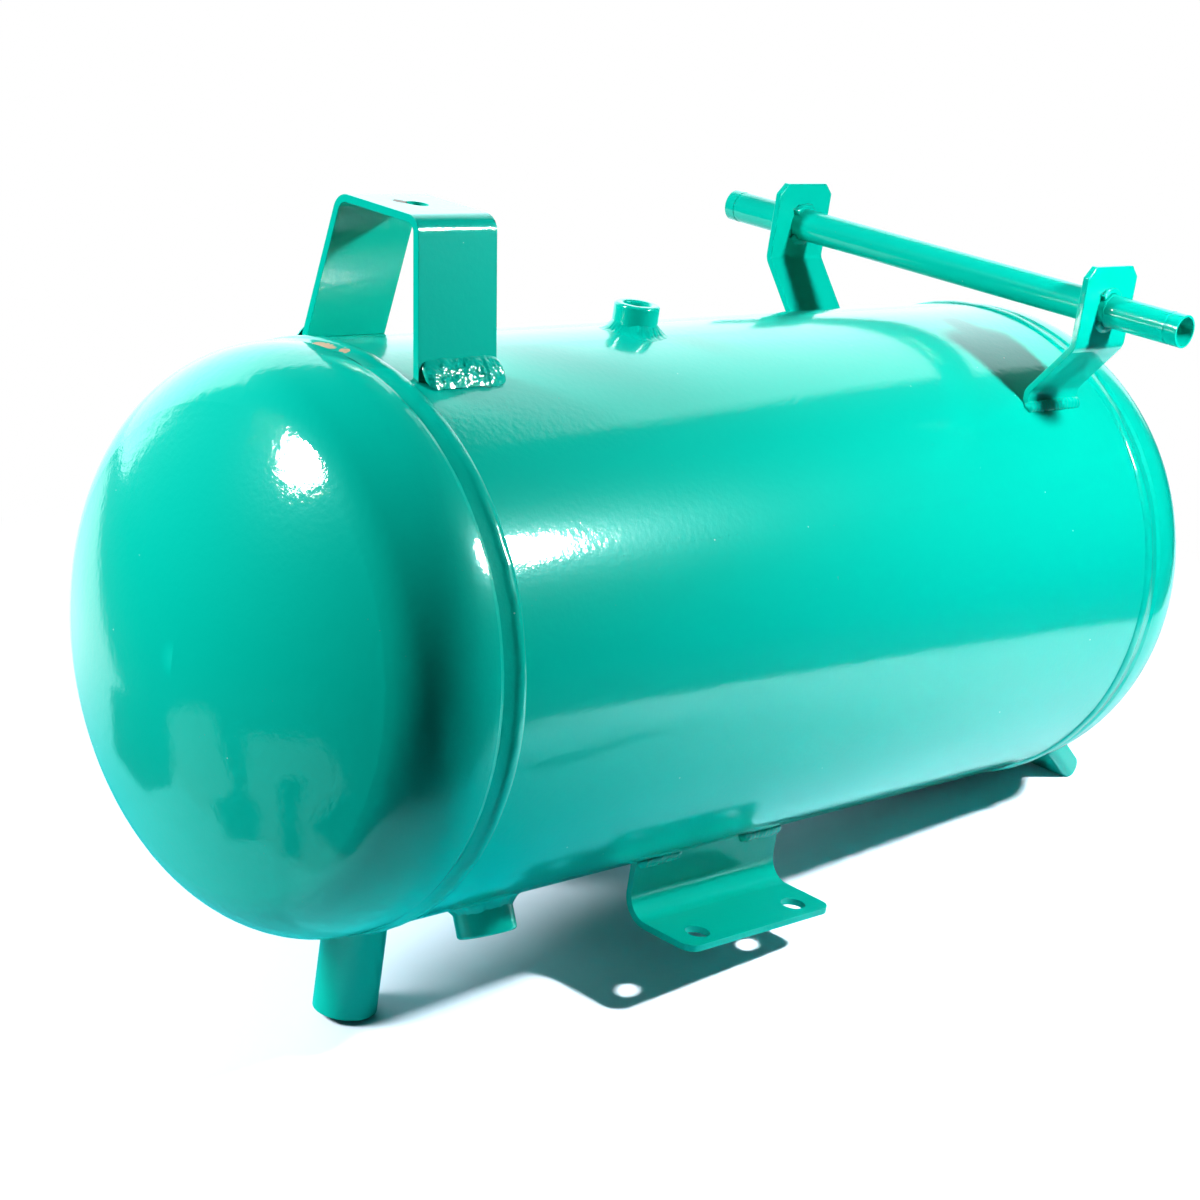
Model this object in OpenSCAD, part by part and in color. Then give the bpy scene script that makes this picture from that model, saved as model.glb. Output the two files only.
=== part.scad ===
// Compressed air tank: a rolled shell with two dished heads, threaded bungs, a strap foot,
// an axle tube on two offset plates, a pair of bent mounting brackets, a round leg and an end foot.
// X runs along the tank, Y is the axle direction, +Z is up.
// The origin is level with the bottom of the leg, under the middle of the tank.

/* [Vessel] */
// Outside diameter of the shell and heads
tank_d = 300; // [260:5:340]
// Wall thickness of the shell and heads
wall = 3; // [2.5:0.5:5]
// Length of the shell between its two edges
shell_len = 532; // [480:4:640]
// Outside radius of the crown of a head
crown_r = 280; // [240:5:330]
// Outside radius of the knuckle of a head
knuckle_r = 49; // [40:1:60]
// Straight flange of a head, from the shell's edge to the knuckle
head_flange = 14; // [13:1:30]
// Length of head that laps inside the shell
lap = 12; // [6:1:20]
// Angle of the shell's long seam, from the rear side upwards
long_seam_angle = 12; // [0:1:25]

/* [Welds] */
// Gap between two edges that a seam weld fills
seam_gap = 2.5; // [1.5:0.5:3]
// Width of a seam weld's crown
seam_w = 8; // [6:0.5:9]
// Height of a seam weld's crown
seam_h = 1.5; // [0.8:0.1:2]
// Radius of an ordinary fillet bead
bead_r = 4; // [2.5:0.5:5]
// Radius of the heavy bead on the strap foot
heavy_bead_r = 7; // [5:0.5:8]

/* [Bungs] */
// Outside diameter of the top bung
top_bung_d = 25; // [22:1:30]
// Height of the top bung above the shell
top_bung_h = 15; // [12:1:22]
// Wall diameter of the top bung's threaded hole
top_port_d = 15; // [11:0.5:18]
// Position of the top bung along the tank
top_bung_x = -61; // [-80:1:40]
// Outside diameter of the side bung
side_bung_d = 32; // [28:1:38]
// Height of the side bung above the shell
side_bung_h = 17; // [14:1:22]
// Wall diameter of the side bung's threaded hole
side_port_d = 19; // [15:0.5:24]
// Distance of the side bung from the shell's left edge
side_bung_in = 79; // [61:1:110]
// Angle of the side bung, from straight down towards the front
side_bung_angle = 27; // [15:1:40]

/* [Strap foot] */
// Width of the strap
strap_w = 52; // [40:1:60]
// Thickness of the strap
strap_t = 4; // [3:0.5:6]
// Distance of the strap's middle from the shell's left edge
strap_in = 36; // [28:1:51]
// Height of the strap's top above the shell
strap_rise = 70.5; // [50:0.5:90]
// Width over the strap's top, measured between the leg faces
strap_top_w = 61; // [50:1:80]
// Lean of each leg from upright
strap_lean = 10.5; // [0:0.5:15]
// Inside radius of the strap's bends
strap_bend_r = 5; // [3:0.5:8]
// Diameter of the hole in the strap's top
strap_hole_d = 11.5; // [8:0.5:16]

/* [Axle] */
// Outside diameter of the axle tube
axle_d = 20; // [16:1:24]
// Wall thickness of the axle tube
axle_wall = 1.6; // [1.2:0.2:3]
// Length of the axle tube
axle_len = 346; // [300:2:400]
// Distance of the axle from the shell's right edge
axle_in = 58; // [41:1:86]
// Height of the axle above the shell's top line
axle_rise = 30; // [24:1:45]
// Width of a plate
plate_w = 50; // [40:1:60]
// Thickness of a plate
plate_t = 4; // [3:0.5:6]
// Distance between the outer faces of the plates
plate_span = 239; // [225:1:250]
// Sideways offset between a plate's upper and lower parts
plate_offset = 25; // [18:1:32]
// Height of a plate's top edge above the axle
plate_over_axle = 25.5; // [20:0.5:35]
// Depth of a plate's upper bend below the axle
plate_bend_drop = 22; // [18:1:28]
// Height taken up by the slanting part of a plate
plate_slant_h = 32; // [26:1:40]
// Chamfer of a plate's top corners
plate_chamfer = 6.5; // [3:0.5:10]
// Inside radius of a plate's bends
plate_bend_r = 6; // [4:0.5:9]
// Depth by which the axle's wheel seats are turned down, outside the plates
axle_seat_cut = 0.3; // [0.2:0.1:0.6]
// Distance of the ring groove from each end of the axle tube
axle_groove_in = 8; // [5:0.5:15]
// Width of the ring groove
axle_groove_w = 2; // [1:0.5:4]
// Depth of the ring groove
axle_groove_deep = 0.6; // [0.3:0.1:0.8]

/* [Mounting brackets] */
// Length of a bracket along the tank
bracket_len = 120; // [100:2:160]
// Thickness of a bracket
bracket_t = 4; // [3:0.5:6]
// Position of the brackets' middle along the tank
bracket_x = -17; // [-40:1:40]
// Distance between the outer faces of the two upright flanges
bracket_span = 150; // [120:2:180]
// Width of a level flange, from the upright flange's outer face to the free edge
bracket_reach = 48; // [44:1:60]
// Depth of a bracket's underside below the shell
bracket_drop = 15; // [12:1:30]
// Inside radius of a bracket's bend
bracket_bend_r = 13; // [8:1:15]
// Radius of a bracket's free corners
bracket_corner_r = 8; // [4:1:12]
// Diameter of the mounting holes
bracket_hole_d = 14; // [8:0.5:16]
// Distance between a bracket's two holes
bracket_hole_pitch = 81; // [60:1:90]
// Distance from the free edge to the middle of a hole
bracket_hole_in = 13.5; // [12:0.5:18]
// Length of each weld bead on a bracket
bracket_bead_len = 27; // [15:1:40]

/* [Leg and end foot] */
// Outside diameter of the leg
leg_d = 35; // [30:1:42]
// Wall thickness of the leg
leg_wall = 3; // [2:0.5:4]
// Distance of the leg from the shell's left edge
leg_in = 56; // [41:1:76]
// Length of the leg below the shell
leg_len = 68; // [50:1:100]
// Width of the end foot
end_foot_w = 150; // [100:2:170]
// Thickness of the end foot
end_foot_t = 3.5; // [2.5:0.5:5]
// Height of the end foot's side flanges over its under face
end_foot_flange = 13; // [10:0.5:16]
// Inside radius of the end foot's bends
end_foot_bend_r = 1.5; // [1:0.5:4]
// Corner radius of the end foot's side flanges
end_foot_corner_r = 7; // [3:0.5:8]
// Lean of the end foot from upright
end_foot_lean = 50.5; // [45:0.5:60]
// Distance that the end foot's tip stands outside the shell's outline
end_foot_tip_drop = 1.5; // [-5:0.5:6]
// Distance of the end foot's tip from the pole of the head, back along the tank
end_foot_tip_in = 8.5; // [2:0.5:20]

/* [Hidden] */
$fa = 4;
$fs = 0.5;
// Facets of large round faces and of weld beads
big_fn = 240;
bead_fn = 48;
// Overlap that joins the lengths of one bent sheet
join = 0.02;
green = [0.0, 0.62, 0.53];
weld_green = [0.0, 0.55, 0.47];

tank_r = tank_d / 2;
half_shell = shell_len / 2;
axis_z = leg_len + tank_r;
dish = crown_r - sqrt(pow(crown_r - knuckle_r, 2) - pow(tank_r - knuckle_r, 2));
tangent_x = half_shell + head_flange;
pole_x = tangent_x + dish;
joggle_x = tangent_x - 3;
tongue_x = half_shell + seam_gap;
strap_x = strap_in - half_shell;
side_bung_x = side_bung_in - half_shell;
leg_x = leg_in - half_shell;
axle_x = half_shell - axle_in;
axle_z = tank_r + axle_rise;
plate_bend_z = axle_z - plate_bend_drop;
bracket_face_y = bracket_span / 2;
bracket_free_y = bracket_face_y + bracket_reach;
bracket_hole_y = bracket_free_y - bracket_hole_in;
bracket_foot_z = -(tank_r + bracket_drop);
end_foot_len = 0.4 * tank_r;

function unit(v) = v / norm(v);
function left_of(v) = [-v[1], v[0]];
function cross2(a, b) = a[0] * b[1] - a[1] * b[0];

// Height of the shell's surface above the tank's axis, at a distance y from its middle plane
function shell_z(y) = sqrt(pow(tank_r, 2) - pow(y, 2));

// Distance from a bend's corner to where its arc starts
function setback(a, b, c, r) =
    let (turn = acos(max(-1, min(1, unit(b - a) * unit(c - b)))))
    r * tan(turn / 2);

// Sheet of thickness t bent along a path in the XY plane, width wide along Z; r is its middle line's bend radius
module bent_sheet(path, t, r, width) {
    last = len(path) - 1;
    for (i = [0 : last - 1]) {
        a = path[i];
        b = path[i + 1];
        u = unit(b - a);
        n = left_of(u) * t / 2;
        p = i == 0 ? a : a + u * (setback(path[i - 1], a, b, r) - join);
        q = i == last - 1 ? b : b - u * (setback(a, b, path[i + 2], r) - join);
        linear_extrude(width)
            polygon([p + n, q + n, q - n, p - n]);
    }
    for (i = [1 : last - 1])
        bend(path[i - 1], path[i], path[i + 1], t, r, width);
}

// Ring sector that joins two straight lengths of a bent sheet
module bend(a, b, c, t, r, width) {
    u = unit(b - a);
    v = unit(c - b);
    d = setback(a, b, c, r);
    centre = b - u * d + sign(cross2(u, v)) * left_of(u) * r;
    reach = 1 + t / r;
    intersection() {
        translate(centre) difference() {
            cylinder(h = width, r = r + t / 2, $fn = 2 * bead_fn);
            translate([0, 0, -1]) cylinder(h = width + 2, r = r - t / 2, $fn = 2 * bead_fn);
        }
        linear_extrude(width)
            polygon([
                centre,
                centre + (b - u * d - centre) * reach,
                centre + (b - centre) * reach,
                centre + (b + v * d - centre) * reach
            ]);
    }
}

// Places what is drawn with its section in XY so that the section lies in Y and Z and it runs along X from x0
module from_x(x0) {
    translate([x0, 0, 0])
        rotate([90, 0, 90])
            children();
}

module along_x(x0, x1) {
    from_x(x0) linear_extrude(x1 - x0) children();
}

// Turns a shape made about Z so that it lies about X
module about_x() {
    rotate([0, 90, 0]) children();
}

// Copies for the front (-Y) or the rear (+Y) side
module on_side(s) {
    mirror([0, s < 0 ? 1 : 0, 0]) children();
}

module raise() {
    translate([0, 0, axis_z]) children();
}

// Solid of the shell's outside, used to cope what is welded to it
module shell_solid() {
    about_x() cylinder(h = shell_len, r = tank_r, center = true, $fn = big_fn);
}

// Section of a dome from its tangent line to its pole, in radius and distance from the tangent line
module dome_section(inset) {
    k = knuckle_r - inset;
    c = crown_r - inset;
    knuckle = [tank_r - knuckle_r, 0];
    crown = [0, dish - crown_r];
    w = unit(knuckle - crown);
    turn = atan2(w[1], w[0]) + 1;
    intersection() {
        translate(crown) circle(c);
        polygon([knuckle, [0, 0], [0, 1.2 * c], crown + 1.3 * c * w]);
    }
    intersection() {
        translate(knuckle) circle(k);
        polygon([
            knuckle,
            knuckle + [1.5 * k, 0],
            knuckle + 1.5 * k * [cos(turn / 2), sin(turn / 2)],
            knuckle + 1.5 * k * [cos(turn), sin(turn)]
        ]);
    }
}

// Solid of the right head's outside
module head_solid() {
    translate([tangent_x, 0, 0]) about_x() rotate_extrude($fn = big_fn) dome_section(0);
    translate([half_shell, 0, 0]) about_x() cylinder(h = head_flange + join, r = tank_r, $fn = big_fn);
}

// One head, opening towards -X: dome, straight flange and the joggled tongue inside the shell
module head() {
    tongue_r = tank_r - wall;
    translate([tangent_x, 0, 0]) about_x() rotate_extrude($fn = big_fn) difference() {
        dome_section(0);
        dome_section(wall);
    }
    about_x() rotate_extrude($fn = big_fn) polygon([
        [tank_r, tangent_x],
        [tank_r, joggle_x],
        [tongue_r, tongue_x],
        [tongue_r, half_shell - lap],
        [tongue_r - wall, half_shell - lap],
        [tongue_r - wall, tongue_x + wall / 2],
        [tank_r - wall, joggle_x + wall / 2],
        [tank_r - wall, tangent_x]
    ]);
}

// Section of a seam weld's crown that stands on a radius of r
module crown_section(r, w, h) {
    arc_r = (pow(w / 2, 2) + pow(h, 2)) / (2 * h);
    intersection() {
        translate([r + h - arc_r, 0]) circle(arc_r);
        translate([r, -w]) square([h + 1, 2 * w]);
    }
}

// Girth seam: fills the groove between the shell's edge and the head's shoulder
module girth_weld() {
    root_r = tank_r - wall;
    valley_x = tongue_x + (joggle_x - tongue_x) * 0.7;
    valley_r = root_r + wall * 0.7;
    about_x() rotate_extrude($fn = big_fn)
        translate([0, half_shell - seam_w / 2 + seam_gap])
            crown_section(tank_r, seam_w, seam_h);
    about_x() rotate_extrude($fn = big_fn)
        polygon([
            [root_r, half_shell],
            [root_r, tongue_x],
            [valley_r, valley_x],
            [tank_r + seam_h / 4, tongue_x - seam_w / 8],
            [tank_r + seam_h / 4, half_shell]
        ]);
}

// Slit of the rolled sheet, which the long seam fills
module seam_slit() {
    rotate(long_seam_angle)
        translate([tank_r - wall - 1, -seam_gap / 2])
            square([wall + 2, seam_gap]);
}

// Drilling for a bung, from the shell's middle out along +Z
module bung_hole(d) {
    cylinder(h = tank_r + 10, d = d);
}

module at_top_bung() {
    translate([top_bung_x, 0, 0]) children();
}

module at_side_bung() {
    translate([side_bung_x, 0, 0]) rotate([180 - side_bung_angle, 0, 0]) children();
}

// Round bung set through the shell, standing h above it
module bung(d, h, port_d) {
    base = tank_r - wall - 2;
    chamfer = 1;
    difference() {
        translate([0, 0, base]) rotate_extrude() polygon([
            [port_d / 2, 0],
            [d / 2, 0],
            [d / 2, tank_r + h - base - chamfer],
            [d / 2 - chamfer, tank_r + h - base],
            [port_d / 2 + chamfer, tank_r + h - base],
            [port_d / 2, tank_r + h - base - chamfer]
        ]);
    }
}

// Weld collar around a bung
module bung_weld(d) {
    difference() {
        translate([0, 0, tank_r - 1.5])
            rotate_extrude($fn = 2 * bead_fn)
                translate([d / 2 + 1, 0]) circle(bead_r + 1, $fn = bead_fn);
        shell_solid();
        bung_hole(d);
    }
}

// Straight bead with round ends, from x0 to x1
module bead(x0, x1, r) {
    translate([x0, 0, 0]) about_x() cylinder(h = x1 - x0, r = r, $fn = bead_fn);
    for (x = [x0, x1])
        translate([x, 0, 0]) sphere(r, $fn = bead_fn);
}

// The strap foot's section path, on the middle of the strap
function strap_path() =
    let (
        top = tank_r + strap_rise - strap_t / 2,
        mid = strap_top_w / 2 - strap_t / 2,
        low = shell_z(strap_top_w / 2) - 12,
        out = mid + (top - low) * tan(strap_lean)
    )
    [[-out, low], [-mid, top], [mid, top], [out, low]];

module strap_solid() {
    from_x(strap_x - strap_w / 2)
        bent_sheet(strap_path(), strap_t, strap_bend_r + strap_t / 2, strap_w);
}

// Room between the strap's legs, which the welds outside leave free
module strap_room() {
    reach = strap_corner_y - strap_t;
    translate([strap_x - strap_w / 2, -reach, 0])
        cube([strap_w, 2 * reach, tank_r + strap_rise / 2]);
}

// Where the outer face of a strap leg meets the shell
strap_corner_y = strap_top_w / 2 + (strap_rise + tank_r - shell_z(strap_top_w * 0.73)) * tan(strap_lean);

// The axle plate's section path on the rear side, on the middle of the plate
function plate_path() =
    let (
        y = plate_span / 2 - plate_t / 2,
        top = axle_z + plate_over_axle
    )
    [
        [y, top],
        [y, plate_bend_z],
        [y - plate_offset, plate_bend_z - plate_slant_h],
        [y - plate_offset, shell_z(y - plate_offset) - 14]
    ];

module plate_solid() {
    intersection() {
        from_x(axle_x - plate_w / 2)
            bent_sheet(plate_path(), plate_t, plate_bend_r + plate_t / 2, plate_w);
        translate([axle_x, plate_span / 2 + 1, 0])
            rotate([90, 0, 0])
                linear_extrude(plate_span / 2)
                    polygon([
                        [-plate_w / 2, 0],
                        [plate_w / 2, 0],
                        [plate_w / 2, axle_z + plate_over_axle - plate_chamfer],
                        [plate_w / 2 - plate_chamfer, axle_z + plate_over_axle],
                        [-plate_w / 2 + plate_chamfer, axle_z + plate_over_axle],
                        [-plate_w / 2, axle_z + plate_over_axle - plate_chamfer]
                    ]);
    }
}

module axle_rod(d) {
    translate([axle_x, 0, axle_z]) rotate([90, 0, 0]) cylinder(h = axle_len + 1, d = d, center = true);
}

// The mounting bracket's section path on the rear side, on the middle of the plate
function bracket_path() =
    let (
        y = bracket_face_y - bracket_t / 2,
        z = bracket_foot_z + bracket_t / 2
    )
    [[y, -shell_z(y) + 10], [y, z], [bracket_free_y, z]];

module bracket_outline() {
    difference() {
        translate([bracket_x - bracket_len / 2, 0])
            square([bracket_len, bracket_free_y]);
        for (s = [-1, 1])
            translate([bracket_x + s * bracket_len / 2, bracket_free_y])
                scale([s, 1])
                    translate([-bracket_corner_r, -bracket_corner_r])
                        difference() {
                            square(bracket_corner_r + 1);
                            circle(bracket_corner_r);
                        }
        for (s = [-1, 1])
            translate([bracket_x + s * bracket_hole_pitch / 2, bracket_hole_y])
                circle(d = bracket_hole_d);
    }
}

module bracket_solid() {
    intersection() {
        from_x(bracket_x - bracket_len / 2)
            bent_sheet(bracket_path(), bracket_t, bracket_bend_r + bracket_t / 2, bracket_len);
        translate([0, 0, bracket_foot_z - 1])
            linear_extrude(tank_r)
                bracket_outline();
    }
}

// Frame of the end foot: +X runs down the foot to its tip, +Z out of its upper face
module at_end_foot() {
    translate([pole_x - end_foot_tip_in, 0, -(tank_r + end_foot_tip_drop)])
        rotate([0, 90 - end_foot_lean, 0])
            children();
}

// Folded channel: web along the foot, side flanges with a rounded corner at the tip
module end_foot_solid() {
    y = (end_foot_w - end_foot_t) / 2;
    at_end_foot() intersection() {
        from_x(-end_foot_len)
            bent_sheet(
                [[-y, end_foot_flange], [-y, end_foot_t / 2], [y, end_foot_t / 2], [y, end_foot_flange]],
                end_foot_t, end_foot_bend_r + end_foot_t / 2, end_foot_len
            );
        translate([0, end_foot_w / 2 + 1, 0])
            rotate([90, 0, 0])
                linear_extrude(end_foot_w + 2)
                    difference() {
                        translate([-end_foot_len, -1])
                            square([end_foot_len, end_foot_flange + 2]);
                        translate([-end_foot_corner_r, end_foot_flange - end_foot_corner_r])
                            difference() {
                                square(end_foot_corner_r + 2);
                                circle(end_foot_corner_r);
                            }
                    }
    }
}

module leg_rod(d) {
    translate([leg_x, 0, -axis_z]) cylinder(h = leg_len + 30, d = d);
}

module shell() {
    color(green) raise() difference() {
        along_x(-half_shell, half_shell) difference() {
            circle(tank_r, $fn = big_fn);
            circle(tank_r - wall, $fn = big_fn);
            seam_slit();
        }
        at_top_bung() bung_hole(top_bung_d);
        at_side_bung() bung_hole(side_bung_d);
    }
}

module head_right() {
    color(green) raise() head();
}

module head_left() {
    color(green) raise() mirror([1, 0, 0]) head();
}

module girth_weld_right() {
    color(weld_green) raise() girth_weld();
}

module girth_weld_left() {
    color(weld_green) raise() mirror([1, 0, 0]) girth_weld();
}

module long_seam_weld() {
    crown_half = half_shell + seam_gap - seam_w;
    color(weld_green) raise() {
        along_x(-half_shell, half_shell) intersection() {
            difference() {
                circle(tank_r, $fn = big_fn);
                circle(tank_r - wall, $fn = big_fn);
            }
            seam_slit();
        }
        along_x(-crown_half, crown_half) difference() {
            rotate(long_seam_angle)
                translate([tank_r + seam_h - seam_w, 0]) circle(seam_w);
            circle(tank_r, $fn = big_fn);
        }
    }
}

module top_bung() {
    color(green) raise() at_top_bung() bung(top_bung_d, top_bung_h, top_port_d);
}

module top_bung_weld() {
    color(weld_green) raise() at_top_bung() bung_weld(top_bung_d);
}

module side_bung() {
    color(green) raise() at_side_bung() bung(side_bung_d, side_bung_h, side_port_d);
}

module side_bung_weld() {
    color(weld_green) raise() at_side_bung() bung_weld(side_bung_d);
}

module foot_bracket() {
    color(green) raise() difference() {
        strap_solid();
        shell_solid();
        translate([strap_x, 0, tank_r + strap_rise - strap_t - 1])
            cylinder(h = strap_t + 2, d = strap_hole_d);
    }
}

// The front leg carries a heavy bead of uneven runs, the rear leg a plain one
module foot_weld_front() {
    count = 11;
    start_in = 4;
    step = (strap_w - start_in) / (count - 1);
    color(weld_green) raise() difference() {
        for (i = [0 : count - 1])
            translate([
                strap_x - strap_w / 2 + start_in + i * step,
                -strap_corner_y - 0.6 * sin(i * 131),
                shell_z(strap_corner_y) + 0.8 * sin(i * 83)
            ])
                sphere(heavy_bead_r + 0.9 * sin(i * 57), $fn = 36);
        strap_room();
        strap_solid();
        shell_solid();
    }
}

module foot_weld_rear() {
    color(weld_green) raise() difference() {
        translate([0, strap_corner_y, shell_z(strap_corner_y)])
            bead(strap_x - strap_w / 2 + 3, strap_x + strap_w / 2 - 3, bead_r + 1);
        strap_room();
        strap_solid();
        shell_solid();
    }
}

module axle_plate(s) {
    color(green) raise() on_side(s) difference() {
        plate_solid();
        shell_solid();
        axle_rod(axle_d);
    }
}

module axle_plate_front() {
    axle_plate(-1);
}

module axle_plate_rear() {
    axle_plate(1);
}

// Bead along the outer foot of an axle plate
module plate_weld(s) {
    y = plate_span / 2 - plate_offset;
    color(weld_green) raise() on_side(s) difference() {
        translate([0, y, shell_z(y)])
            bead(axle_x - plate_w / 2 + 2, axle_x + plate_w / 2 - 2, bead_r);
        plate_solid();
        shell_solid();
    }
}

module plate_weld_front() {
    plate_weld(-1);
}

module plate_weld_rear() {
    plate_weld(1);
}

// Ring of material taken off the axle, from y0 to y1 along it
module turned_off(y0, y1, deep) {
    translate([0, 0, y0]) difference() {
        cylinder(h = y1 - y0, d = axle_d + 2);
        translate([0, 0, -1]) cylinder(h = y1 - y0 + 2, d = axle_d - 2 * deep);
    }
}

module axle_tube() {
    end_y = axle_len / 2;
    groove_y = end_y - axle_groove_in;
    seat_y = plate_span / 2 + bead_r;
    color(green) raise() translate([axle_x, 0, axle_z])
        rotate([90, 0, 0]) difference() {
            cylinder(h = axle_len, d = axle_d, center = true);
            cylinder(h = axle_len + 1, d = axle_d - 2 * axle_wall, center = true);
            for (s = [0, 1])
                mirror([0, 0, s]) {
                    turned_off(seat_y, end_y + 1, axle_seat_cut);
                    turned_off(groove_y - axle_groove_w / 2, groove_y + axle_groove_w / 2, axle_groove_deep);
                }
        }
}

// Two tack beads over and under the axle, on a plate's face at a distance y from the middle plane
module axle_weld(s, y) {
    color(weld_green) raise() on_side(s) difference() {
        for (a = [90, 270])
            translate([axle_x, y, axle_z])
                rotate([90, 0, 0])
                    rotate([0, 0, a - 50])
                        rotate_extrude(angle = 100)
                            translate([axle_d / 2 + 0.5, 0]) circle(bead_r - 1, $fn = bead_fn);
        plate_solid();
        axle_rod(axle_d);
    }
}

module axle_weld_front() {
    axle_weld(-1, plate_span / 2);
}

module axle_weld_rear() {
    axle_weld(1, plate_span / 2 - plate_t);
}

module mount_bracket(s) {
    color(green) raise() on_side(s) difference() {
        bracket_solid();
        shell_solid();
    }
}

module mount_bracket_front() {
    mount_bracket(-1);
}

module mount_bracket_rear() {
    mount_bracket(1);
}

// Two beads at the ends of a bracket's upright flange
module mount_weld(s) {
    y = bracket_face_y;
    x_end = bracket_len / 2 - bead_r;
    color(weld_green) raise() on_side(s) difference() {
        for (m = [-1, 1])
            translate([bracket_x + m * (x_end - bracket_bead_len / 2), y, -shell_z(y)])
                bead(-bracket_bead_len / 2, bracket_bead_len / 2, bead_r);
        bracket_solid();
        shell_solid();
    }
}

module mount_weld_front() {
    mount_weld(-1);
}

module mount_weld_rear() {
    mount_weld(1);
}

module leg_tube() {
    color(green) raise() difference() {
        leg_rod(leg_d);
        translate([0, 0, -1]) leg_rod(leg_d - 2 * leg_wall);
        shell_solid();
    }
}

module leg_weld() {
    color(weld_green) raise() difference() {
        translate([leg_x, 0, -tank_r + 1])
            rotate_extrude($fn = 2 * bead_fn)
                translate([leg_d / 2 + 0.5, 0]) circle(bead_r, $fn = bead_fn);
        leg_rod(leg_d);
        shell_solid();
    }
}

module end_foot() {
    color(green) raise() difference() {
        end_foot_solid();
        head_solid();
    }
}

// Beads between the end foot's under face and the head
module end_foot_weld() {
    color(weld_green) raise() difference() {
        intersection() {
            at_end_foot()
                translate([-end_foot_len, -end_foot_w / 2, -bead_r])
                    cube([end_foot_len, end_foot_w, bead_r]);
            translate([bead_r, 0, 0]) head_solid();
        }
        head_solid();
        end_foot_solid();
    }
}

shell();
head_left();
head_right();
girth_weld_left();
girth_weld_right();
long_seam_weld();
top_bung();
top_bung_weld();
side_bung();
side_bung_weld();
foot_bracket();
foot_weld_front();
foot_weld_rear();
axle_plate_front();
axle_plate_rear();
plate_weld_front();
plate_weld_rear();
axle_tube();
axle_weld_front();
axle_weld_rear();
mount_bracket_front();
mount_bracket_rear();
mount_weld_front();
mount_weld_rear();
leg_tube();
leg_weld();
end_foot();
end_foot_weld();
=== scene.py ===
import math
import random

import bmesh
import bpy
from mathutils import Matrix, Vector, noise


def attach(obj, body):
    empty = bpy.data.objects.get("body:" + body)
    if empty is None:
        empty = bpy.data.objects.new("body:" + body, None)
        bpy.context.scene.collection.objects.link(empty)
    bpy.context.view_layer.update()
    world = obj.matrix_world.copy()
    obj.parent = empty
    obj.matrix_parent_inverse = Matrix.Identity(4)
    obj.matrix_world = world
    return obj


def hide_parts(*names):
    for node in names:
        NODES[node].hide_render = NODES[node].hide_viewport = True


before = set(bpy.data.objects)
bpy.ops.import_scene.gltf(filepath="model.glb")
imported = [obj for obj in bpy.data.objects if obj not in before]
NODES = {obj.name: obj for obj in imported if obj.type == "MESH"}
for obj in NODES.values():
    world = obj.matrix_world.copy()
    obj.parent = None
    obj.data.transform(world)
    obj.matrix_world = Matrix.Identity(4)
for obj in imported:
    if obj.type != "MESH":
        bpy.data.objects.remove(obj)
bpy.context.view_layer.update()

random.seed(4)

X, Y, Z = range(3)


# measures from the frame, in metres
def corners(node):
    """The eight corners of a CAD node's box."""
    return [NODES[node].matrix_world @ Vector(c) for c in NODES[node].bound_box]


def edges(node, axis):
    """The low and the high edge of a CAD node along an axis, to a tenth of a millimetre."""
    places = [c[axis] for c in corners(node)]
    return round(min(places), 4), round(max(places), 4)


def middle(node, axis):
    """The middle between a CAD node's edges along an axis."""
    return round(sum(edges(node, axis)) / 2, 4)


HALF = edges("shell", X)[1]                     # half the shell's length
R = -edges("shell", Y)[0]                       # outside radius of shell and heads
AXIS_Z = round(edges("shell", Z)[1] - R, 4)     # height of the vessel's axis
AXIS = Vector((0, 0, AXIS_Z))
STRAP_LEAN = math.radians(10.5)                 # how far a strap leg leans out
SIDE_BUNG_TURN = math.radians(27)               # from straight down towards the front
FLOOR_TILT = math.radians(7.1)
FLOOR_PIVOT = Vector((-0.192, 0, 0))            # where the tilted paper touches the leg


def radial(p):
    """Away from the vessel's axis."""
    return Vector((0, p.y, p.z - AXIS_Z)).normalized()


def direction(azimuth, elevation):
    """Azimuth 0 is -Y and 90 is +X, in degrees."""
    a, e = math.radians(azimuth), math.radians(elevation)
    return Vector((math.sin(a) * math.cos(e), -math.cos(a) * math.cos(e), math.sin(e)))


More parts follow.
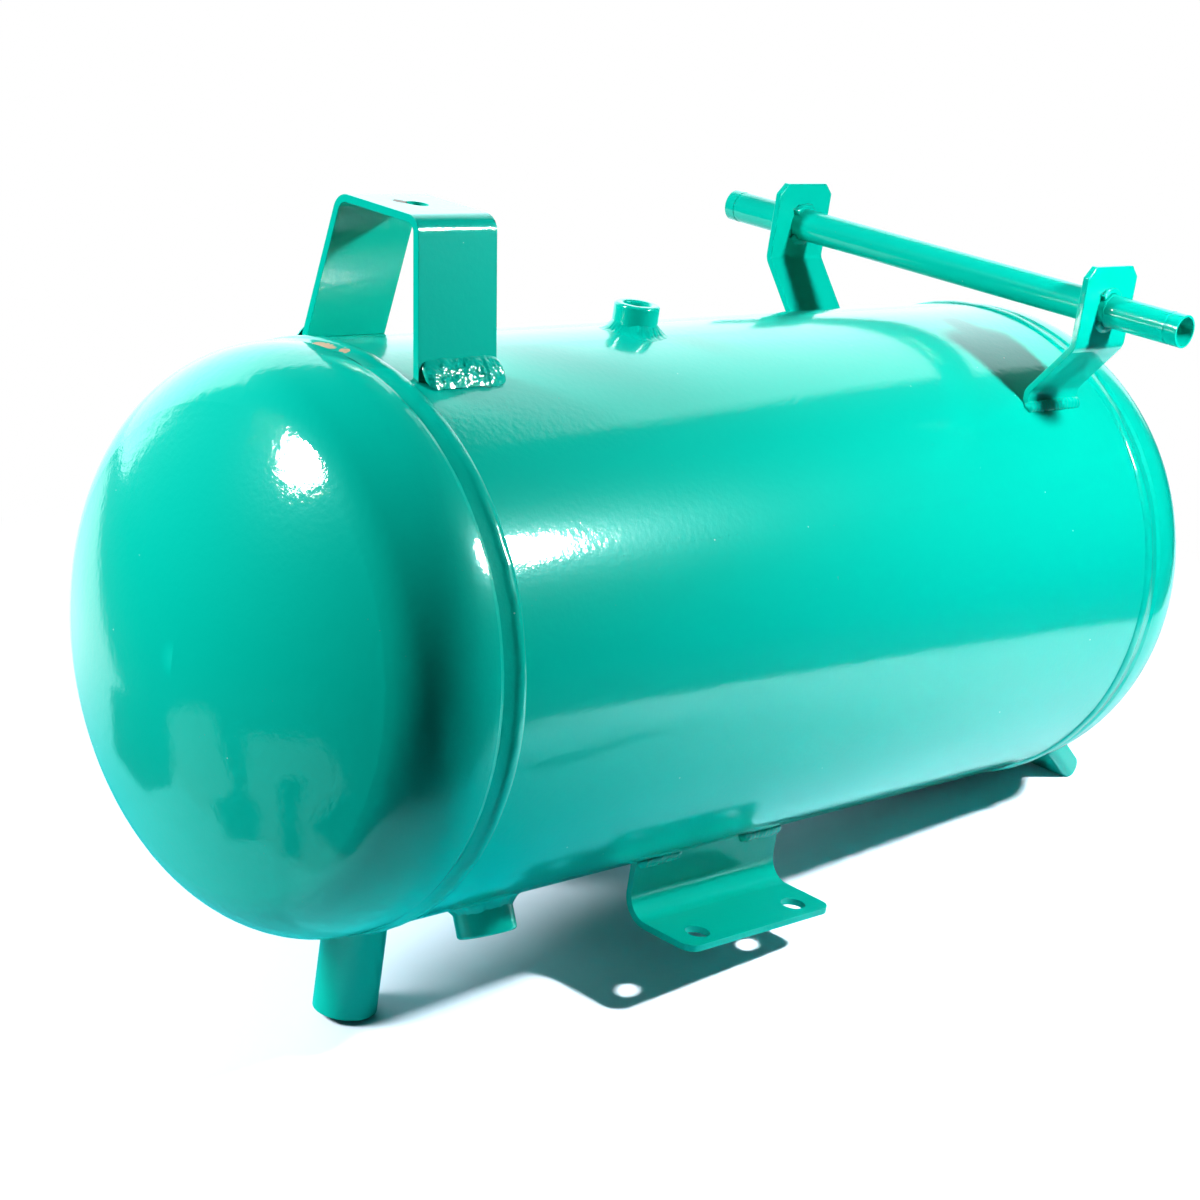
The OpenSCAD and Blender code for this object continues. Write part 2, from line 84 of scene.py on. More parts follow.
# material helpers
class Graph:
    """The node tree of a material or a world, and short ways to build it."""

    def __init__(self, owner):
        owner.use_nodes = True
        self.tree = owner.node_tree
        self.tree.nodes.clear()

    def put(self, value, socket):
        """Links an output to a socket, or sets the socket to a number or a colour."""
        if isinstance(value, bpy.types.NodeSocket):
            self.tree.links.new(value, socket)
        elif socket.type == "RGBA":
            socket.default_value = (*value, 1)
        else:
            socket.default_value = value

    def add(self, kind, inputs=None, **settings):
        node = self.tree.nodes.new(kind)
        for key, value in settings.items():
            setattr(node, key, value)
        for key, value in (inputs or {}).items():
            self.put(value, node.inputs[key])
        return node

    def math(self, operation, a, b=0.0, clamp=False):
        node = self.add("ShaderNodeMath", {0: a, 1: b}, operation=operation, use_clamp=clamp)
        return node.outputs[0]

    def vector(self, operation, a, b, c=(0.0, 0.0, 0.0)):
        return self.add("ShaderNodeVectorMath", {0: a, 1: b, 2: c}, operation=operation).outputs[0]

    def length(self, a):
        return self.add("ShaderNodeVectorMath", {0: a}, operation="LENGTH").outputs["Value"]

    def dot(self, a, b):
        return self.add("ShaderNodeVectorMath", {0: a, 1: b}, operation="DOT_PRODUCT").outputs["Value"]

    def ramp(self, fac, stops):
        """A colour ramp; each stop is a position and a colour."""
        node = self.add("ShaderNodeValToRGB", {0: fac})
        elements = node.color_ramp.elements
        while len(elements) < len(stops):
            elements.new(0.5)
        for element, (position, colour) in zip(elements, stops):
            element.position = position
            element.color = (*colour, 1)
        return node.outputs[0]

    def step(self, value, low, high):
        """Black under low, white over high."""
        return self.ramp(value, [(low, (0, 0, 0)), (high, (1, 1, 1))])

    def scaled(self, value, low, high, to_low=0.0, to_high=1.0, kind="LINEAR"):
        """Value taken from the range low to high to another range, and held at its ends."""
        ranges = {"Value": value, "From Min": low, "From Max": high, "To Min": to_low, "To Max": to_high}
        return self.add("ShaderNodeMapRange", ranges, interpolation_type=kind).outputs[0]

    def mix(self, fac, a, b):
        return self.add("ShaderNodeMix", {0: fac, 6: a, 7: b}, data_type="RGBA").outputs[2]

    def noise(self, place, scale, detail=2.0):
        return self.add("ShaderNodeTexNoise", {"Vector": place, "Scale": scale, "Detail": detail}).outputs

    def bump(self, height, strength, distance, before=None):
        inputs = {"Height": height, "Strength": strength, "Distance": distance}
        if before is not None:
            inputs["Normal"] = before
        return self.add("ShaderNodeBump", inputs).outputs[0]

    def finish(self, shader, kind="ShaderNodeOutputMaterial"):
        self.tree.links.new(shader.outputs[0], self.add(kind).inputs[0])


# Enamel, and what shows where it is off
GREEN = (0.0, 0.445, 0.344)
DARK_SPECK = (0.10, 0.30, 0.24)
LIGHT_GRAIN = (0.55, 0.85, 0.80)
PRIMER = (0.62, 0.40, 0.27)
RUST = (0.16, 0.055, 0.025)

# Bare places: centre and half sizes along X, Y and Z
PRIMER_SPOTS = (((-0.2722, 0.0090, 0.3680), (0.0034, 0.0085, 0.0060)),
                ((-0.2700, -0.0045, 0.3680), (0.0024, 0.0035, 0.0060)))
RUST_SPOTS = (((-0.2362, 0.0052, 0.4375), (0.0042, 0.0062, 0.0060)),)
SPOT_RAG = 0.005            # how far noise pushes a spot's edge, in all
SPOT_RAG_SCALE = 330.0
SPOT_SHARP = 5.0            # how fast a spot sets in at its edge

SPECK_SCALE = 620.0
SPECK_PATCH_SCALE = 23.0    # specks come in patches of this noise
GRAIN_SCALE = 150.0
GRAIN_CHOSEN = 0.975        # the share of grain cells that stay empty
GRAIN_RADIUS = 0.065        # in cells

# Orange peel: scale, strength and depth of a coarse and a fine noise
PEEL_COARSE = (260.0, 0.05, 0.002)
PEEL_FINE = (900.0, 0.028, 0.001)


def worn(g, place, spots):
    """1 on the given spots, with ragged edges."""
    rag = g.noise(place, SPOT_RAG_SCALE)["Color"]
    pushed = g.vector("MULTIPLY_ADD", rag, (SPOT_RAG,) * 3, place)
    total = 0.0
    for centre, half in spots:
        off = g.vector("SUBTRACT", pushed, tuple(c + SPOT_RAG / 2 for c in centre))
        size = g.length(g.vector("DIVIDE", off, half))
        inside = g.math("MULTIPLY", g.math("SUBTRACT", 1.0, size), SPOT_SHARP, clamp=True)
        total = g.math("MAXIMUM", total, inside)
    return total


def dark_specks(g, place):
    """Fine dark dust, here and there."""
    dust = g.step(g.noise(place, SPECK_SCALE, 1.0)["Fac"], 0.78, 0.80)
    patch = g.step(g.noise(place, SPECK_PATCH_SCALE)["Fac"], 0.56, 0.62)
    return g.math("MULTIPLY", g.math("MULTIPLY", dust, patch), 0.7)


def light_grains(g, place):
    """Small round dots of dust in the enamel, in a few cells of a Voronoi pattern."""
    cells = g.add("ShaderNodeTexVoronoi", {"Vector": place, "Scale": GRAIN_SCALE}).outputs
    draw = g.add("ShaderNodeSeparateColor", {0: cells["Color"]}).outputs[0]
    chosen = g.math("GREATER_THAN", draw, GRAIN_CHOSEN)
    near = g.math("LESS_THAN", cells["Distance"], GRAIN_RADIUS)
    return g.math("MULTIPLY", g.math("MULTIPLY", chosen, near), 0.55)


def enamel(name, tone=1.0, peel=1.0, gloss=0.06):
    """Green enamel under a clear gloss: a deep colour with a weak, cyan sheen of its own."""
    mat = bpy.data.materials.new(name)
    g = Graph(mat)
    place = g.add("ShaderNodeTexCoord").outputs["Object"]
    green = tuple(c * tone for c in GREEN)
    colour = g.mix(dark_specks(g, place), green, DARK_SPECK)
    colour = g.mix(light_grains(g, place), colour, LIGHT_GRAIN)
    primer = worn(g, place, PRIMER_SPOTS)
    rust = worn(g, place, RUST_SPOTS)
    colour = g.mix(rust, g.mix(primer, colour, PRIMER), RUST)
    bare = g.math("MAXIMUM", primer, rust)
    normal = None
    for scale, strength, depth in (PEEL_COARSE, PEEL_FINE):
        normal = g.bump(g.noise(place, scale)["Fac"], strength * peel, depth, normal)
    g.finish(g.add("ShaderNodeBsdfPrincipled", {
        "Base Color": colour,
        "Roughness": g.scaled(g.noise(place, 9.0, 3.0)["Fac"], 0.3, 0.7, 0.28, 0.32),
        "Specular IOR Level": 0.06,
        "Specular Tint": (0.15, 1.0, 1.0),
        "Coat Weight": g.math("SUBTRACT", 1.0, bare),
        "Coat Roughness": gloss,
        "Coat IOR": 1.45,
        "Normal": normal,
        "Coat Normal": normal}))
    return mat


MATERIALS = {"enamel": enamel("enamel_gloss"),
             "enamel_weld": enamel("enamel_on_weld", tone=0.95, peel=1.6, gloss=0.04)}

for name, obj in NODES.items():
    for slot in obj.material_slots:
        slot.material = MATERIALS["enamel_weld" if "weld" in name else "enamel"]


# shape helpers
def finish_piece(obj, node, slot):
    """Links a new piece that stands for a node, rides it on the part and dresses it."""
    bpy.context.scene.collection.objects.link(obj)
    obj.data.materials.clear()
    obj.data.materials.append(MATERIALS[slot])
    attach(obj, "root")
    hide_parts(node)


def smooth(mesh):
    mesh.polygons.foreach_set("use_smooth", [True] * len(mesh.polygons))
    mesh.update()


def baked(obj, name):
    """A plain mesh object with obj's modifiers worked in, in obj's stead."""
    graph = bpy.context.evaluated_depsgraph_get()
    mesh = bpy.data.meshes.new_from_object(obj.evaluated_get(graph), depsgraph=graph)
    mesh.name = name
    bpy.data.objects.remove(obj)
    return bpy.data.objects.new(name, mesh)


def rounded(node, width):
    """A copy of a CAD node with its sharp edges rounded off."""
    bm = bmesh.new()
    bm.from_mesh(NODES[node].data)
    bmesh.ops.remove_doubles(bm, verts=bm.verts, dist=2e-6)
    bmesh.ops.dissolve_limit(bm, angle_limit=math.radians(0.5), verts=bm.verts, edges=bm.edges)
    mesh = bpy.data.meshes.new(node + "_shape")
    bm.to_mesh(mesh)
    bm.free()
    mesh.validate()
    smooth(mesh)
    obj = bpy.data.objects.new(node + "_shape", mesh)
    bpy.context.scene.collection.objects.link(obj)
    bevel = obj.modifiers.new("round", "BEVEL")
    bevel.width = width
    bevel.segments = 2
    bevel.limit_method = "ANGLE"
    bevel.angle_limit = math.radians(32)
    bevel.use_clamp_overlap = True
    bevel.miter_outer = "MITER_ARC"
    even = obj.modifiers.new("even", "WEIGHTED_NORMAL")
    even.weight = 60
    even.keep_sharp = False
    finish_piece(baked(obj, node + "_round"), node, "enamel")


def weld_skin(node, name, rows, closed):
    """A weld whose skin runs through rows of points.

    The last row joins the first where closed, or else both get an end face.
    """
    bm = bmesh.new()
    grid = [[bm.verts.new(p) for p in row] for row in rows]
    following = grid[1:] + grid[:1] if closed else grid[1:]
    for a, b in zip(grid, following):
        for k in range(len(a) - 1):
            bm.faces.new((a[k], a[k + 1], b[k + 1], b[k]))
    if not closed:
        bm.faces.new(grid[0])
        bm.faces.new(grid[-1])
    bmesh.ops.recalc_face_normals(bm, faces=bm.faces)
    mesh = bpy.data.meshes.new(name)
    bm.to_mesh(mesh)
    bm.free()
    smooth(mesh)
    finish_piece(bpy.data.objects.new(name, mesh), node, "enamel_weld")


def around(angle, radius, z):
    """A point for noise to be read at, so that it closes after a full turn."""
    return Vector((math.cos(angle) * radius, math.sin(angle) * radius, z))


# Sheets, tubes and bungs, with the width of their rounded edges
ROUNDED = {"foot_bracket": 0.0007, "axle_plate_front": 0.0006, "axle_plate_rear": 0.0006,
           "mount_bracket_front": 0.0008, "mount_bracket_rear": 0.0008, "end_foot": 0.0005,
           "top_bung": 0.0005, "side_bung": 0.0005, "axle_tube": 0.0004, "leg_tube": 0.0005}
for node, width in ROUNDED.items():
    rounded(node, width)


# Girth welds: a smooth, slightly wavy crown, and a valley on the head's side
CROWN_HALF = 0.0040
CROWN_HIGH = 0.0015
CROWN_IN = 0.0015       # from the shell's edge to the crown's middle
CROWN_END = 0.8         # the share of its half width where the crown turns into the valley
VALLEY_WIDE = 0.0058
VALLEY_DEEP = 0.0011
CROWN_LIP = 0.0003      # how far the crown's first edge dips into the shell
GIRTH_STEPS = 900
GIRTH_ROWS = 22


def girth_radius(x, half, high):
    """The seam's radius at x from its crown's middle."""
    start = CROWN_END * half
    if x < start:
        return R + high * max(0.0, 1 - (x / half) ** 2) ** 0.8
    rim = R + high * (1 - CROWN_END ** 2) ** 0.8
    down = (x - start) / (0.44 * half + VALLEY_WIDE)
    return rim + (R - VALLEY_DEEP - rim) * min(1.0, down) ** 0.7


def girth_weld(node, side):
    seed = 3.0 + side
    rows = []
    for i in range(GIRTH_STEPS):
        a = 2 * math.pi * i / GIRTH_STEPS
        slow = around(a, 2.2, seed)
        quick = around(a, 14, seed)
        shift = 0.0007 * noise.noise(slow * 1.6) + 0.0004 * noise.noise(quick)
        high = CROWN_HIGH * (1 + 0.22 * noise.noise(slow * 2.3) + 0.16 * noise.noise(quick * 1.4))
        half = CROWN_HALF * (1 + 0.12 * noise.noise(quick))
        row = []
        for k in range(GIRTH_ROWS):
            x = -1.02 * half + k / (GIRTH_ROWS - 1) * (2.04 * half + VALLEY_WIDE)
            r = girth_radius(x, half, high) - (CROWN_LIP if k == 0 else 0)
            row.append((side * (HALF - CROWN_IN + x + shift), r * math.cos(a), AXIS_Z + r * math.sin(a)))
        rows.append(row)
    weld_skin(node, node + "_bead", rows, closed=True)


girth_weld("girth_weld_left", -1)
girth_weld("girth_weld_right", 1)


# Toe welds of the strap
TOE_STEP = 0.0005
TOE_ROWS = 30
TOE_FROM = -12          # degrees from the leg's face, where the fillet starts inside the leg
TOE_SWEEP = 124
TOE_ROUND = 0.005       # length over which an end swells to the full size


def toe_weld(node, side, start, past, reach, lump):
    """The heavy weld at a strap leg's toe: a flat, lumpy fillet between the leg's face and the shell.

    It runs from start inside the strap's left edge to past beyond its right edge.
    """
    left, right = edges("foot_bracket", X)
    x0, x1 = left + start, right + past
    root = sum(corners(node), Vector()) / 8
    along_leg = Vector((0, -side * math.sin(STRAP_LEAN), math.cos(STRAP_LEAN)))
    out = radial(root)
    along_shell = Vector((0, side * out.z, -side * out.y))
    seed = random.uniform(0, 50)
    count = round((x1 - x0) / TOE_STEP)
    rows = []
    for i in range(count + 1):
        x = x0 + (x1 - x0) * i / count
        near_end = min(1.0, min(x - x0, x1 - x) / TOE_ROUND)
        swell = 0.35 + 0.65 * math.sqrt(max(0.0, 1 - (1 - near_end) ** 2))
        row = []
        for k in range(TOE_ROWS):
            turn = k / (TOE_ROWS - 1)
            angle = math.radians(TOE_FROM + TOE_SWEEP * turn)
            arch = math.sin(math.pi * turn)
            here = Vector((x, turn * 0.016, seed))
            bumps = noise.noise(here * 240) + 0.55 * noise.noise(here * 520) + 0.5 * noise.noise(here * 90)
            wave = 0.12 * noise.noise(Vector((x * 110, seed, 8 * round(turn))))
            r = (reach * (1 - 0.34 * arch + wave) + lump * bumps * arch ** 0.5) * swell
            row.append(Vector((x, root.y, root.z)) + along_leg * (r * math.cos(angle))
                       + along_shell * (r * math.sin(angle)))
        rows.append(row)
    weld_skin(node, node + "_toe", rows, closed=False)


toe_weld("foot_weld_front", -1, start=0.0015, past=0.0018, reach=0.0074, lump=0.0012)
toe_weld("foot_weld_rear", 1, start=0.0, past=0.0, reach=0.0066, lump=0.0007)


# Beads laid by hand on the CAD nodes' own shapes
PUDDLE_PITCH = 0.0032
LUMP_SCALE = 190


def remeshed(node, cell):
    """A copy of a CAD node as an even mesh of small cells."""
    obj = bpy.data.objects.new(node + "_cells", NODES[node].data.copy())
    bpy.context.scene.collection.objects.link(obj)
    cells = obj.modifiers.new("cells", "REMESH")
    cells.mode = "VOXEL"
    cells.voxel_size = cell
    soft = obj.modifiers.new("soft", "SMOOTH")
    soft.iterations = 3
    soft.factor = 0.5
    return baked(obj, node + "_bead")


def bead(node, ring=False, cell=0.0007, ripple=0.0005, lump=0.0006):
    """A weld of puddles that overlap along its run, or round its ring."""
    obj = remeshed(node, cell)
    places = [v.co.copy() for v in obj.data.vertices]
    normals = [v.normal.copy() for v in obj.data.vertices]
    mid = sum(places, Vector()) / len(places)
    spread = [max(p[k] for p in places) - min(p[k] for p in places) for k in range(3)]
    run = spread.index(max(spread))
    across = radial(mid).cross(Vector((1, 0, 0))).normalized()
    ring_radius = 0.35 * max(spread)
    shift = Vector((random.uniform(0, 50), 0, 0))
    for v, p, n in zip(obj.data.vertices, places, normals):
        arm = p - mid
        d = math.atan2(arm.dot(across), arm.x) * ring_radius if ring else p[run]
        d += 0.0010 * noise.noise(p * 130 + shift)
        puddle = 1 - (d / PUDDLE_PITCH % 1.0) ** 1.6
        swell = noise.noise(p * LUMP_SCALE + shift) + 0.5 * noise.noise(p * LUMP_SCALE * 2.3 + shift)
        v.co = p + n * (ripple * (puddle - 0.5) + lump * swell)
    smooth(obj.data)
    finish_piece(obj, node, "enamel_weld")


for node in ("plate_weld_front", "plate_weld_rear", "mount_weld_front", "mount_weld_rear", "end_foot_weld",
             "axle_weld_front", "axle_weld_rear"):
    bead(node)
bead("leg_weld", ring=True)


# Skirt welds of the bungs
SKIRT_STEPS = 180
SKIRT_ROWS = 12
SKIRT_IN = 0.0004       # how far the skirt starts inside the bung's wall
SKIRT_LIP = 0.0005      # how far its outer edge dips into the shell


def skirt_weld(node, bung, out, tall, wide):
    """The weld round a bung: it runs in a hollow curve from the bung's wall down to the shell."""
    left, right = edges(bung, X)
    r = (right - left) / 2
    centre = AXIS + Vector((middle(bung, X), 0, 0))
    side = out.cross(Vector((1, 0, 0))).normalized()
    seed = random.uniform(0, 50)
    rows = []
    for i in range(SKIRT_STEPS):
        a = 2 * math.pi * i / SKIRT_STEPS
        slow = noise.noise(around(a, 1.3, seed))
        quick = noise.noise(around(a, 7, seed))
        w = wide * (1 + 0.35 * slow + 0.16 * quick)
        h = tall * (1 + 0.25 * slow + 0.14 * quick)
        row = []
        for k in range(SKIRT_ROWS):
            t = k / (SKIRT_ROWS - 1)
            rho = r - SKIRT_IN + w * t
            ripple = 0.00035 * math.sin(math.pi * t) * noise.noise(around(a, 16, seed + 3 * t))
            across = rho * math.sin(a)
            shell = math.sqrt(R * R - across * across)
            up = h * (1 - t) ** 2.1 + ripple - (SKIRT_LIP if t == 1 else 0)
            row.append(centre + Vector((rho * math.cos(a), 0, 0)) + side * across + out * (shell + up))
        rows.append(row)
    weld_skin(node, node + "_skirt", rows, closed=True)


SIDE_BUNG_OUT = Vector((0, -math.sin(SIDE_BUNG_TURN), -math.cos(SIDE_BUNG_TURN)))
skirt_weld("top_bung_weld", "top_bung", Vector((0, 0, 1)), tall=0.0052, wide=0.0070)
skirt_weld("side_bung_weld", "side_bung", SIDE_BUNG_OUT, tall=0.0050, wide=0.0060)
bead("long_seam_weld", cell=0.0012, ripple=0.0002, lump=0.0003)


# Floor: a sheet of white paper that rises to the backdrop behind the tank
FLOOR_PLACE = Matrix.Translation(FLOOR_PIVOT) @ Matrix.Rotation(-FLOOR_TILT, 4, "Y")
FLOOR_RADIUS = 6
FLOOR_CORNERS = 96
PAPER = (0.58, 0.65, 0.74)              # its colour for the camera
PAPER_BOUNCE = (0.22, 0.36, 0.42)       # its colour for the light that it throws back on the tank
OFF_PAPER = (0.005, 0.005, 0.005)
BURNT_CENTRE = (0.05, 0.0, 0.0)
BURNT_OUT = (0.36, 0.74)                # for the camera it turns pure white between these distances
RISE = (0.25, 0.70)                     # it rises to the backdrop between these Y
RISE_GLOW = 1.6
RISE_TINT = (0.75, 1.0, 1.05)

# Edges of the paper as the tank sees it: the edge's direction in X and Y, its distance and softness
PAPER_EDGES = ((-0.567, 0.824, -0.600, 0.012), (0.36, 0.933, -0.47, 0.14), (1.0, -0.05, -0.50, 0.05))

# Painted reflection: the paper's colour in the gloss, a teal that is darker in the middle, from the left at
# the first X below to the right at the second
PAINTED_REFLECTION_X = (-0.50, 0.35)
PAINTED_REFLECTION_STOPS = [(0.0, (0.20, 0.58, 0.62)), (0.16, (0.13, 0.52, 0.55)), (0.33, (0.01, 0.36, 0.39)),
               (0.45, (0.0, 0.32, 0.35)), (1.0, (0.31, 0.57, 0.60))]


def half_plane(g, x, y, nx, ny, distance, soft):
    """1 where nx * x + ny * y is over distance and 0 under it, with a soft edge."""
    reach = g.math("ADD", g.math("MULTIPLY", x, nx), g.math("MULTIPLY", y, ny))
    return g.math("ADD", g.math("MULTIPLY", g.math("SUBTRACT", reach, distance), 1 / soft), 0.5, clamp=True)


def paper_material():
    """White for the camera. Other rays see a darker sheet that ends at its edges and glows where it rises."""
    mat = bpy.data.materials.new("floor_white")
    g = Graph(mat)
    place = g.add("ShaderNodeNewGeometry").outputs["Position"]
    x, y = g.add("ShaderNodeSeparateXYZ", {0: place}).outputs[:2]
    path = g.add("ShaderNodeLightPath").outputs
    camera = path["Is Camera Ray"]
    not_camera = g.math("SUBTRACT", 1.0, camera)
    paper = 1.0
    for edge in PAPER_EDGES:
        paper = g.math("MULTIPLY", paper, half_plane(g, x, y, *edge))
    # painted reflection: gloss rays see the paper in a teal ramp along X, darker in the middle
    gloss = g.mix(paper, OFF_PAPER, g.ramp(g.scaled(x, *PAINTED_REFLECTION_X), PAINTED_REFLECTION_STOPS))
    bounce = g.mix(paper, OFF_PAPER, PAPER_BOUNCE)
    seen = g.mix(path["Is Glossy Ray"], bounce, gloss)
    sheet = g.add("ShaderNodeBsdfDiffuse", {"Color": g.mix(camera, seen, PAPER)})
    glow = g.math("MULTIPLY", not_camera, g.math("MULTIPLY", paper, RISE_GLOW))
    shine = g.add("ShaderNodeEmission", {"Color": g.mix(camera, RISE_TINT, (1, 1, 1)),
                                         "Strength": g.math("ADD", glow, camera)})
    away = g.length(g.vector("SUBTRACT", place, BURNT_CENTRE))
    burnt = g.math("MULTIPLY", g.scaled(away, *BURNT_OUT, kind="SMOOTHSTEP"), camera)
    risen = g.math("MULTIPLY", g.scaled(y, *RISE, kind="SMOOTHSTEP"), not_camera)
    g.finish(g.add("ShaderNodeMixShader", {0: g.math("ADD", risen, burnt), 1: sheet.outputs[0],
                                           2: shine.outputs[0]}))
    return mat


def on_floor(name, points, level, mat, gloss_only=False):
    """A flat shape in the floor's own X and Y, at a level over it."""
    mesh = bpy.data.meshes.new(name)
    mesh.from_pydata([(x, y, level) for x, y in points], [], [list(range(len(points)))])
    mesh.materials.append(mat)
    shape = bpy.data.objects.new(name, mesh)
    shape.matrix_world = FLOOR_PLACE
    if gloss_only:
        shape.visible_camera = False
        shape.visible_diffuse = False
        shape.visible_shadow = False
    bpy.context.scene.collection.objects.link(shape)
    return shape


FLOOR_TURNS = [2 * math.pi * i / FLOOR_CORNERS for i in range(FLOOR_CORNERS)]
FLOOR = on_floor("floor", [(FLOOR_RADIUS * math.cos(a), FLOOR_RADIUS * math.sin(a)) for a in FLOOR_TURNS],
                 0.0, paper_material())


# Painted reflections of what stands about the room: glowing and black flat shapes over the floor, as outlines
# in X and Y, that only the gloss on the near head and shell sees
PAINTED_BRIGHT_REFLECTIONS = {"reflection_panel_left": (0.85, ((-0.83, 0.36), (-0.72, 0.41), (-0.60, 0.38), (-0.47, 0.25), (-0.46, 0.12),
                                (-0.58, 0.14), (-0.66, 0.21))),
          "reflection_panel_right": (0.75, ((-0.82, 0.22), (-0.66, 0.14), (-0.48, 0.07), (-0.45, -0.02), (-0.47, -0.14),
                                 (-0.64, -0.10), (-0.86, -0.05), (-1.02, 0.02)))}
PAINTED_DARK_REFLECTIONS = {"dark_block": ((-0.42, 0.50), (-0.34, 0.33), (-0.38, 0.24), (-0.45, 0.22), (-0.52, 0.27),
                              (-0.66, 0.44)),
               "dark_plate": ((-0.50, 0.15), (-0.56, 0.11), (-0.57, 0.085), (-0.53, 0.06), (-0.47, 0.05),
                              (-0.44, 0.09)),
               "dark_bulb": ((-0.66, 0.065), (-0.71, 0.04), (-0.70, 0.01), (-0.56, 0.005), (-0.50, -0.016),
                             (-0.465, -0.012), (-0.46, 0.008), (-0.49, 0.018), (-0.55, 0.03)),
               "dark_wedge": ((-0.55, -0.02), (-0.72, -0.08), (-0.70, -0.17), (-0.62, -0.22), (-0.50, -0.15),
                              (-0.46, -0.10)),
               "dark_stroke": ((0.0, -0.325), (0.12, -0.350), (0.13, -0.362), (-0.06, -0.345))}
PAINTED_REFLECTION_TINT = (0.45, 1.0, 1.05)
BRIGHT_REFLECTION_LEVEL = 0.001
DARK_REFLECTION_LEVEL = 0.002      # over the panels


# A painted reflection: a flat shape that glows at the given strength, or is black at 0, and is seen only in
# the gloss
def painted_reflection_card(name, points, level, strength):
    mat = bpy.data.materials.new(name)
    g = Graph(mat)
    g.finish(g.add("ShaderNodeEmission", {"Color": PAINTED_REFLECTION_TINT, "Strength": strength}))
    flat = [((x - FLOOR_PIVOT.x) / math.cos(FLOOR_TILT), y) for x, y in points]
    on_floor(name, flat, level, mat, gloss_only=True)


for name, (strength, points) in PAINTED_BRIGHT_REFLECTIONS.items():
    painted_reflection_card(name, points, BRIGHT_REFLECTION_LEVEL, strength)
for name, points in PAINTED_DARK_REFLECTIONS.items():
    painted_reflection_card(name, points, DARK_REFLECTION_LEVEL, 0.0)


# Light: a small hard key at the front right and a round softbox at the back left
KEY_PLACE = (0.25, -0.53, 0.70)
SOFTBOX_AIM = Vector((-0.33, 0, 0.30))
SOFTBOX_DISTANCE = 1.9


def light(name, kind, power):
    data = bpy.data.lights.new(name, kind)
    data.energy = power
    obj = bpy.data.objects.new(name, data)
    bpy.context.scene.collection.objects.link(obj)
    return obj


def key_light(name, radius, power):
    bulb = light(name, "POINT", power)
    bulb.data.shadow_soft_size = radius
    bulb.location = KEY_PLACE
    return bulb


def softbox(name, azimuth, elevation, size, power):
    lamp = light(name, "AREA", power)
    lamp.data.shape = "DISK"
    lamp.data.size = size
    back = direction(azimuth, elevation)
    lamp.location = SOFTBOX_AIM + back * SOFTBOX_DISTANCE
    lamp.rotation_mode = "QUATERNION"
    lamp.rotation_quaternion = back.to_track_quat("Z", "Y")
    return lamp


def only(lamp, diffuse=False, glossy=False):
    """Splits a light in its soft share and the glint that it leaves in the gloss."""
    lamp.visible_diffuse = diffuse
    lamp.visible_glossy = glossy


def floor_only(lamp):
    """Lets a light fall on the paper alone, which is lit harder than the tank."""
    lit = bpy.data.collections.new(lamp.name + "_lights")
    lit.objects.link(FLOOR)
    lamp.light_linking.receiver_collection = lit


only(key_light("key", 0.030, 28), diffuse=True)
only(key_light("key_glint", 0.059, 67), glossy=True)
only(softbox("softbox", -131, 27, 0.60, 68), diffuse=True)
only(softbox("softbox_glint", -118.5, 25.5, 0.50, 60), glossy=True)
floor_only(key_light("key_on_floor", 0.030, 60))
floor_only(softbox("softbox_on_floor", -125, 27, 0.60, 36))


# Backdrop: white for the camera. Other rays see a screen behind the tank in a dark room. Edges in degrees
SCREEN_AZIMUTH = 148
SCREEN_LEFT = -48.0
SCREEN_RIGHT = 52.0
SCREEN_TOP = 46.5
SCREEN_GLOW = 2.45
SCREEN_GLOW_SLOPE = 0.017       # brighter by this for each degree to the right
SCREEN_GLOW_LEAST = 1.7
SCREEN_SPILL = 0.4              # how much stronger soft light from it is than its reflection
SCREEN_TINT = (0.78, 1.0, 1.06)
ROOM_GLOW = 0.012


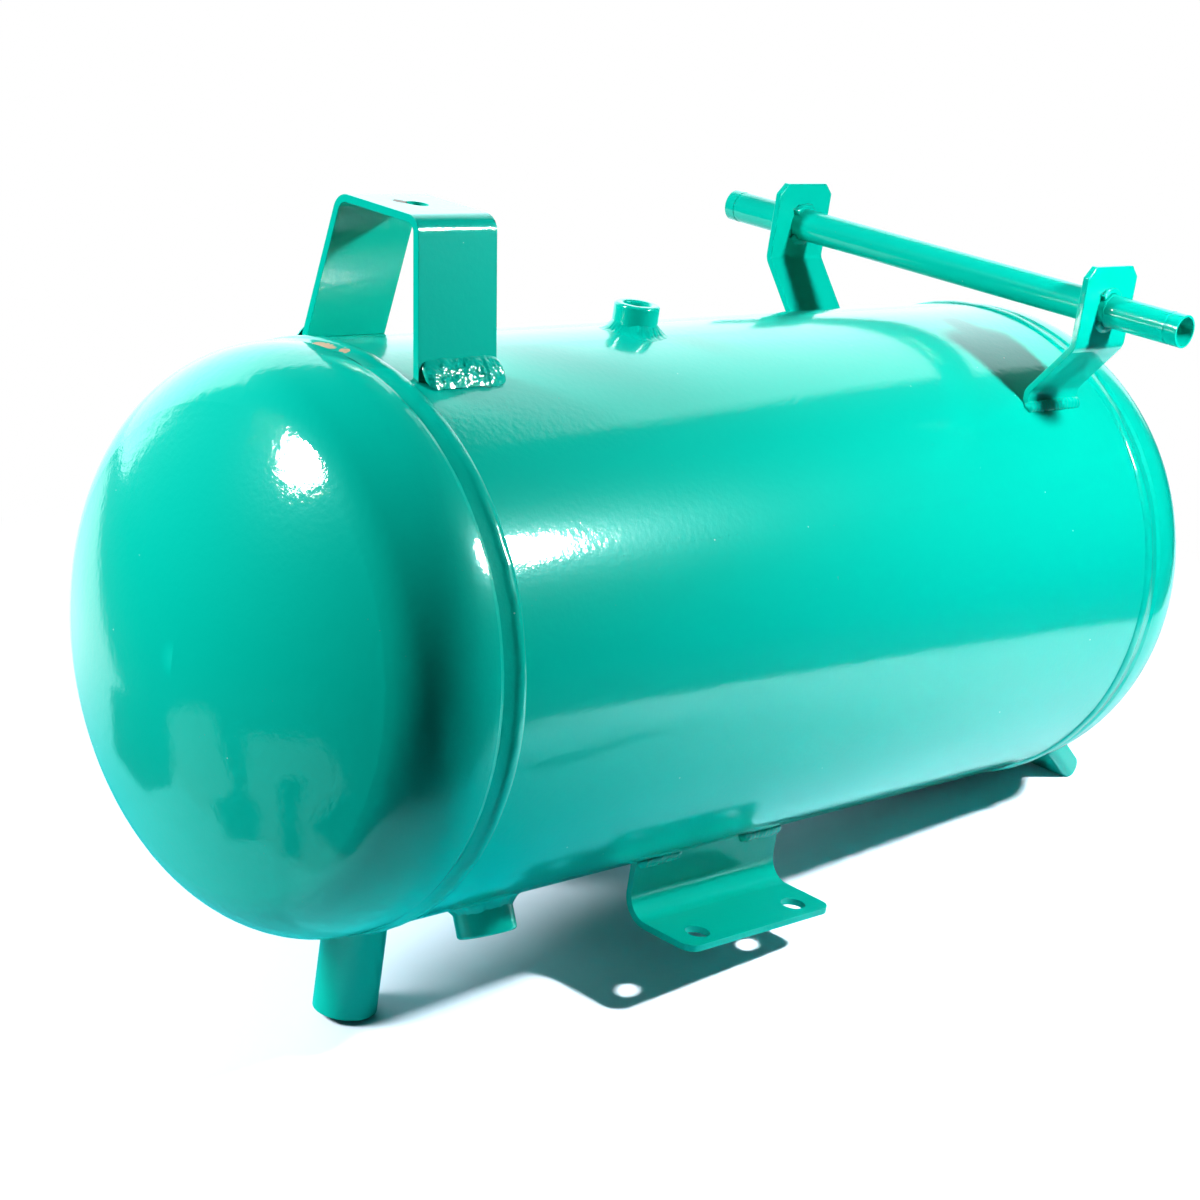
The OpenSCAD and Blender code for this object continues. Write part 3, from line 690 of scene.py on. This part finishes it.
def backdrop():
    world = bpy.data.worlds.new("studio")
    bpy.context.scene.world = world
    g = Graph(world)
    ray = g.add("ShaderNodeTexCoord").outputs["Generated"]
    path = g.add("ShaderNodeLightPath").outputs
    camera = path["Is Camera Ray"]

    def degrees(operation, *values):
        return g.math("MULTIPLY", g.math(operation, *values), 180 / math.pi)

    def side(azimuth):
        return g.dot(ray, tuple(direction(azimuth, 0)))

    def cut(edge, value, start, slope):
        """The edge, brought in by slope for each degree of value over start."""
        over = g.math("MAXIMUM", g.math("SUBTRACT", value, start), 0.0)
        return g.math("SUBTRACT", edge, g.math("MULTIPLY", over, slope))

    def inside(high, low, sharp):
        return g.math("MULTIPLY", g.math("SUBTRACT", high, low), sharp, clamp=True)

    across = degrees("ARCTAN2", side(SCREEN_AZIMUTH + 90), side(SCREEN_AZIMUTH))
    level = degrees("ARCSINE", g.dot(ray, (0, 0, 1)))
    left = cut(SCREEN_LEFT, level, 37.0, 1.15)
    right = cut(SCREEN_RIGHT, g.math("SUBTRACT", 9.0, level), 0.0, 0.7)
    top = cut(SCREEN_TOP, across, 20.0, 0.45)
    screen = g.math("MULTIPLY", inside(across, left, 0.5), inside(right, across, 0.35))
    screen = g.math("MULTIPLY", screen, inside(top, level, 0.4))
    glow = g.math("ADD", g.math("MULTIPLY", across, SCREEN_GLOW_SLOPE), SCREEN_GLOW)
    glow = g.math("MAXIMUM", glow, SCREEN_GLOW_LEAST)
    spill = g.math("ADD", g.math("MULTIPLY", path["Is Diffuse Ray"], SCREEN_SPILL), 1.0)
    strength = g.math("MULTIPLY", g.math("MULTIPLY", screen, glow), spill)
    strength = g.math("MULTIPLY", g.math("ADD", strength, ROOM_GLOW), g.math("SUBTRACT", 1.0, camera))
    g.finish(g.add("ShaderNodeBackground", {"Color": g.mix(camera, SCREEN_TINT, (1, 1, 1)),
                                            "Strength": g.math("MAXIMUM", strength, camera)}),
             "ShaderNodeOutputWorld")


backdrop()


# Camera, solved from the photograph
CAMERA_PLACE = Vector((-1.143, -0.9842, 0.6516))
CAMERA_AZIMUTH = -47.859
CAMERA_ELEVATION = 16.627
CAMERA_ROLL = 8.545
CAMERA_LENS = 82.348        # in millimetres, for a sensor of 36


def make_camera():
    data = bpy.data.cameras.new("camera")
    data.sensor_fit = "AUTO"
    data.sensor_width = 36
    data.lens = CAMERA_LENS
    data.clip_start = 0.01
    data.clip_end = 60
    camera = bpy.data.objects.new("camera", data)
    back = direction(CAMERA_AZIMUTH, CAMERA_ELEVATION)
    level = Vector((0, 0, 1)).cross(back).normalized()
    roll = math.radians(CAMERA_ROLL)
    right = level * math.cos(roll) + back.cross(level) * math.sin(roll)
    turn = Matrix((right, back.cross(right), back)).transposed().to_4x4()
    camera.matrix_world = Matrix.Translation(CAMERA_PLACE) @ turn
    bpy.context.scene.collection.objects.link(camera)
    bpy.context.scene.camera = camera


make_camera()
bpy.context.scene.view_settings.view_transform = "Standard"
